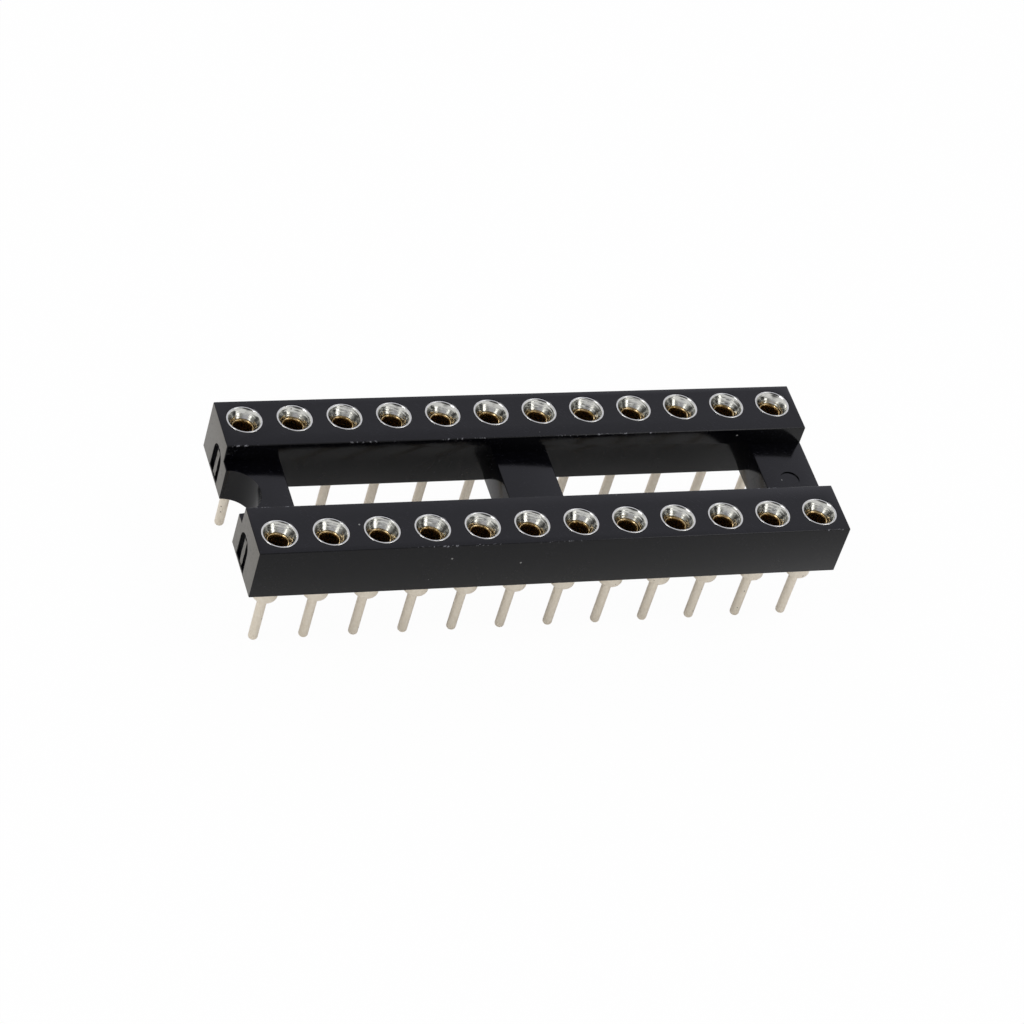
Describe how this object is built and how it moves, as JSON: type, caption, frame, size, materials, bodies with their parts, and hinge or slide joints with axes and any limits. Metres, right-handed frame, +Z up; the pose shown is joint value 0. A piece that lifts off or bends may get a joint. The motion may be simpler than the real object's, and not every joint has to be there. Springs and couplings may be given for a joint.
{
  "type": "ic socket",
  "caption": "Dual-in-line integrated circuit socket: black rails joined by crossbars hold turned metal contacts, which take the leads above and are soldered into a board below.",
  "frame": {"origin": "on the plane through the tips of the solder tails, midway between the rows and between the ends", "axes": "+X along the rows, away from the notched end; +Y from the row of contact 1 to the other row; +Z up, out of the contacts' mouths"},
  "size_m": [0.0304, 0.0102, 0.0073],
  "materials": {
    "black_polyester": "satin",
    "tinned_brass": "satin",
    "gilt_copper": "gloss"
  },
  "bodies": {
    "root": {"body": "black_polyester", "sleeve_01": "tinned_brass", "sleeve_02": "tinned_brass", "sleeve_03": "tinned_brass", "sleeve_04": "tinned_brass", "sleeve_05": "tinned_brass", "sleeve_06": "tinned_brass", "sleeve_07": "tinned_brass", "sleeve_08": "tinned_brass", "sleeve_09": "tinned_brass", "sleeve_10": "tinned_brass", "sleeve_11": "tinned_brass", "sleeve_12": "tinned_brass", "sleeve_13": "tinned_brass", "sleeve_14": "tinned_brass", "sleeve_15": "tinned_brass", "sleeve_16": "tinned_brass", "sleeve_17": "tinned_brass", "sleeve_18": "tinned_brass", "sleeve_19": "tinned_brass", "sleeve_20": "tinned_brass", "sleeve_21": "tinned_brass", "sleeve_22": "tinned_brass", "sleeve_23": "tinned_brass", "sleeve_24": "tinned_brass", "clip_01": "gilt_copper", "clip_02": "gilt_copper", "clip_03": "gilt_copper", "clip_04": "gilt_copper", "clip_05": "gilt_copper", "clip_06": "gilt_copper", "clip_07": "gilt_copper", "clip_08": "gilt_copper", "clip_09": "gilt_copper", "clip_10": "gilt_copper", "clip_11": "gilt_copper", "clip_12": "gilt_copper", "clip_13": "gilt_copper", "clip_14": "gilt_copper", "clip_15": "gilt_copper", "clip_16": "gilt_copper", "clip_17": "gilt_copper", "clip_18": "gilt_copper", "clip_19": "gilt_copper", "clip_20": "gilt_copper", "clip_21": "gilt_copper", "clip_22": "gilt_copper", "clip_23": "gilt_copper", "clip_24": "gilt_copper"}
  },
  "joints": []
}
